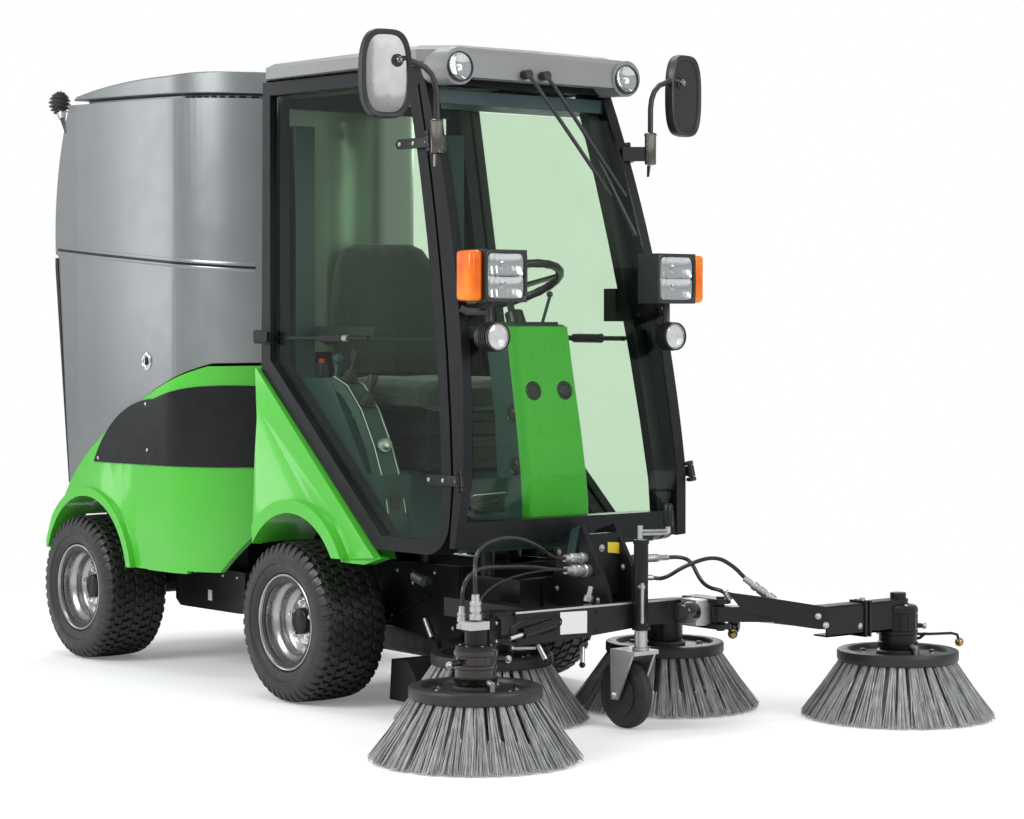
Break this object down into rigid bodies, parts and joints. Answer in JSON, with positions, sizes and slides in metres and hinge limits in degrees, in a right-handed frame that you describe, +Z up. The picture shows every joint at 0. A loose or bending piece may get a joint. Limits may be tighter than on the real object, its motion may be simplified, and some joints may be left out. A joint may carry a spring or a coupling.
{
  "type": "compact road sweeper",
  "caption": "Articulated compact road sweeper with a glazed cab, tipping rear hopper and disc brushes on swinging arms.",
  "frame": {"origin": "middle of the footprint of the whole machine, on the ground", "axes": "+X to the machine's left, +Y to its rear, +Z up"},
  "size_m": [2.041, 3.2459, 2.016],
  "materials": {
    "frame_black": "satin black powder coat",
    "green_paint": "gloss lime green paint",
    "hopper_grey": "dark metallic grey",
    "roof_grey": "mid grey moulded roof",
    "panel_black": "satin black",
    "cab_trim": "dark grey moulded trim",
    "tinted_glass": "pale green tint",
    "seat_fabric": "dark woven cloth",
    "rubber": "black rubber",
    "lamp_black": "black moulding",
    "lamp_glass": "clear lens over a bright reflector",
    "lamp_red": "red lens",
    "mirror_shell": "black shell with a mirror face",
    "engine_metal": "painted castings",
    "tyre": "black tread rubber",
    "rim_silver": "silver painted rim",
    "bristle": "grey bristles on a dark carrier"
  },
  "bodies": {
    "front_module": {"front_chassis": "frame_black", "front_axle": "frame_black", "cab_frame": "frame_black", "cab_floor": "cab_trim", "cab_roof": "roof_grey", "cab_glass": "tinted_glass", "front_fenders": "green_paint", "seat": "seat_fabric", "seat_base": "rubber", "console": "cab_trim", "steering_column": "cab_trim", "lamp_housings": "lamp_black", "lamp_lenses": "lamp_glass", "mirrors": "mirror_shell", "wipers": "lamp_black", "tool_frame": "frame_black", "suction_mouth": "rubber"},
    "wheel_front_right": {"tyre_front_right": "tyre", "rim_front_right": "rim_silver"},
    "wheel_front_left": {"tyre_front_left": "tyre", "rim_front_left": "rim_silver"},
    "wheel_rear_right": {"tyre_rear_right": "tyre", "rim_rear_right": "rim_silver"},
    "wheel_rear_left": {"tyre_rear_left": "tyre", "rim_rear_left": "rim_silver"},
    "door_right": {"door_right": "frame_black", "door_glass_right": "tinted_glass"},
    "arm_right": {"brush_arm_right": "frame_black"},
    "door_left": {"door_left": "frame_black", "door_glass_left": "tinted_glass"},
    "arm_left": {"brush_arm_left": "frame_black"},
    "brush_outer_right": {"brush_outer_right": "bristle"},
    "brush_outer_left": {"brush_outer_left": "bristle"},
    "brush_inner_right": {"brush_inner_right": "bristle"},
    "brush_inner_left": {"brush_inner_left": "bristle"},
    "steering_wheel": {"steering_wheel": "cab_trim"},
    "caster_fork": {"caster_fork": "frame_black"},
    "caster_wheel": {"caster_wheel": "rubber"},
    "rear_module": {"rear_chassis": "frame_black", "rear_axle": "frame_black", "engine": "engine_metal", "rear_body": "green_paint", "side_panels": "panel_black", "rear_duct": "rubber", "rear_lamps": "lamp_red"},
    "hopper": {"hopper_body": "hopper_grey", "hopper_lid": "hopper_grey", "corner_lamp": "lamp_black"},
    "tailgate": {"tailgate": "panel_black"}
  },
  "joints": [
    {"name": "articulation", "type": "hinge", "parent": "front_module", "child": "rear_module", "pos_m": [-0.0655, 0.555, 0.375], "axis": [0, 0, 1], "range_deg": [-35, 35]},
    {"name": "roll_front_right", "type": "hinge", "parent": "front_module", "child": "wheel_front_right", "pos_m": [-0.4855, -0.015, 0.25], "axis": [1, 0, 0], "continuous": true},
    {"name": "roll_front_left", "type": "hinge", "parent": "front_module", "child": "wheel_front_left", "pos_m": [0.3545, -0.015, 0.25], "axis": [1, 0, 0], "continuous": true},
    {"name": "roll_rear_right", "type": "hinge", "parent": "rear_module", "child": "wheel_rear_right", "pos_m": [-0.4855, 1.305, 0.25], "axis": [1, 0, 0], "continuous": true},
    {"name": "roll_rear_left", "type": "hinge", "parent": "rear_module", "child": "wheel_rear_left", "pos_m": [0.3545, 1.305, 0.25], "axis": [1, 0, 0], "continuous": true},
    {"name": "door_right", "type": "hinge", "parent": "front_module", "child": "door_right", "pos_m": [-0.50897, -0.80326, 0.72126], "axis": [0.0589, 0.2265, 0.9722], "range_deg": [0, 75]},
    {"name": "door_left", "type": "hinge", "parent": "front_module", "child": "door_left", "pos_m": [0.37797, -0.80326, 0.72126], "axis": [0.0589, -0.2265, -0.9722], "range_deg": [0, 75]},
    {"name": "arm_right", "type": "hinge", "parent": "front_module", "child": "arm_right", "pos_m": [-0.5655, -1.025, 0.33], "axis": [0, 0, 1], "range_deg": [-35, 35]},
    {"name": "arm_left", "type": "hinge", "parent": "front_module", "child": "arm_left", "pos_m": [0.1695, -1.165, 0.33], "axis": [0, 0, 1], "range_deg": [-35, 15]},
    {"name": "spin_outer_right", "type": "hinge", "parent": "arm_right", "child": "brush_outer_right", "pos_m": [-0.7335, -1.174, 0.2], "axis": [0, 0, 1], "continuous": true},
    {"name": "spin_outer_left", "type": "hinge", "parent": "arm_left", "child": "brush_outer_left", "pos_m": [0.7335, -1.336, 0.2], "axis": [0, 0, 1], "continuous": true},
    {"name": "spin_inner_right", "type": "hinge", "parent": "front_module", "child": "brush_inner_right", "pos_m": [-0.2795, -0.657, 0.2], "axis": [0, 0, 1], "continuous": true},
    {"name": "spin_inner_left", "type": "hinge", "parent": "front_module", "child": "brush_inner_left", "pos_m": [0.3125, -0.76, 0.2], "axis": [0, 0, 1], "continuous": true},
    {"name": "steering", "type": "hinge", "parent": "front_module", "child": "steering_wheel", "pos_m": [-0.0655, -0.445, 1.29], "axis": [0, 0.375, 0.927], "continuous": true},
    {"name": "caster_swivel", "type": "hinge", "parent": "front_module", "child": "caster_fork", "pos_m": [-0.0655, -1.082, 0.3], "axis": [0, 0, 1], "continuous": true},
    {"name": "caster_roll", "type": "hinge", "parent": "caster_fork", "child": "caster_wheel", "pos_m": [-0.0655, -1.018, 0.1], "axis": [1, 0, 0], "continuous": true},
    {"name": "hopper_tip", "type": "hinge", "parent": "rear_module", "child": "hopper", "pos_m": [-0.0655, 1.517, 0.556], "axis": [-1, 0, 0], "range_deg": [0, 48]},
    {"name": "tailgate", "type": "hinge", "parent": "hopper", "child": "tailgate", "pos_m": [-0.0655, 1.609, 1.428], "axis": [1, 0, 0], "range_deg": [0, 80]}
  ]
}
